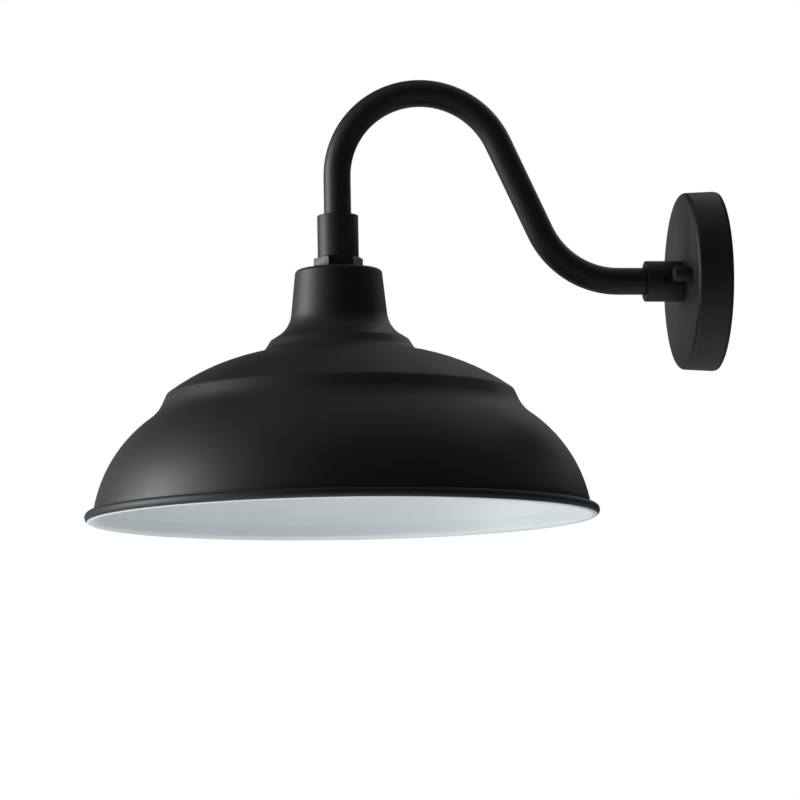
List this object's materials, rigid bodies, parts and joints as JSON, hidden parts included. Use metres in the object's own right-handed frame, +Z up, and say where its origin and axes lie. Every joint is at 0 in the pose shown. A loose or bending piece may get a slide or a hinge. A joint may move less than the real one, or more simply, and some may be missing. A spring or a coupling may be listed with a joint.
{
  "type": "outdoor wall lantern",
  "caption": "Gooseneck barn-style wall light: round wall canopy, bent tube arm and a stepped spun-metal shade over a screw-shell lamp socket.",
  "frame": {"origin": "centre of the wall canopy on the wall plane, which is the centre of the crossbar's two box-screw slots", "axes": "+X points into the wall and the arm reaches out along -X, +Y runs along the wall, +Z is up"},
  "size_m": [0.4464, 0.3568, 0.3108],
  "materials": {
    "black_paint": "fine-textured matte black powder coat; the inside of the shade is satin white",
    "black_screw": "black oxide",
    "zinc_steel": "zinc plated",
    "tinned_terminal": "tin plated",
    "green_screw": "green dyed plating",
    "foam": "closed-cell foam",
    "rubber_seal": "soft rubber",
    "socket_cap_metal": "plain",
    "porcelain": "glazed porcelain",
    "brass": "plain",
    "nickel": "nickel plated",
    "black_lead": "insulated lead",
    "white_lead": "insulated lead",
    "green_lead": "insulated lead",
    "connector_plastic": "moulded plastic"
  },
  "bodies": {
    "wall_plate": {"canopy": "black_paint", "canopy_gasket": "foam", "crossbar": "zinc_steel", "canopy_studs": "zinc_steel", "canopy_stud_nuts": "zinc_steel", "cap_nuts": "black_paint", "ground_screw": "green_screw", "ground_terminal": "tinned_terminal", "ground_lead": "green_lead", "wall_collar": "black_paint", "wall_collar_set_screw": "black_screw", "wall_nipple": "zinc_steel", "wall_lock_washer": "zinc_steel", "wall_nipple_nut": "zinc_steel", "wall_hot_lead": "black_lead", "wall_neutral_lead": "white_lead", "wire_connectors": "connector_plastic"},
    "arm": {"gooseneck_arm": "black_paint", "arm_hot_lead": "black_lead", "arm_neutral_lead": "white_lead"},
    "shade_head": {"shade_hub": "black_paint", "hub_set_screw": "black_screw", "shade_lock_nut": "black_paint", "shade_nipple": "zinc_steel", "shade": "black_paint", "shade_seal": "rubber_seal", "inner_lock_nut": "zinc_steel", "socket_cap": "socket_cap_metal", "socket_cap_nut": "zinc_steel", "socket_cap_screws": "zinc_steel", "socket_body": "porcelain", "screw_shell": "brass", "hot_terminal_screw": "brass", "neutral_terminal_screw": "nickel", "lamp_hot_lead": "black_lead", "lamp_neutral_lead": "white_lead"},
    "centre_contact": {"centre_contact": "brass"}
  },
  "joints": [
    {"name": "arm_swivel", "type": "hinge", "parent": "wall_plate", "child": "arm", "pos_m": [-0.0328, 0, 0], "axis": [1, 0, 0], "range_deg": [-180, 180]},
    {"name": "shade_swivel", "type": "hinge", "parent": "arm", "child": "shade_head", "pos_m": [-0.268, 0, 0.0263], "axis": [0, 0, 1], "range_deg": [-180, 180]},
    {"name": "contact_press", "type": "slide", "parent": "shade_head", "child": "centre_contact", "axis": [0, 0, 1], "range_m": [0, 0.0015], "stiffness_N_per_m": 1500}
  ]
}
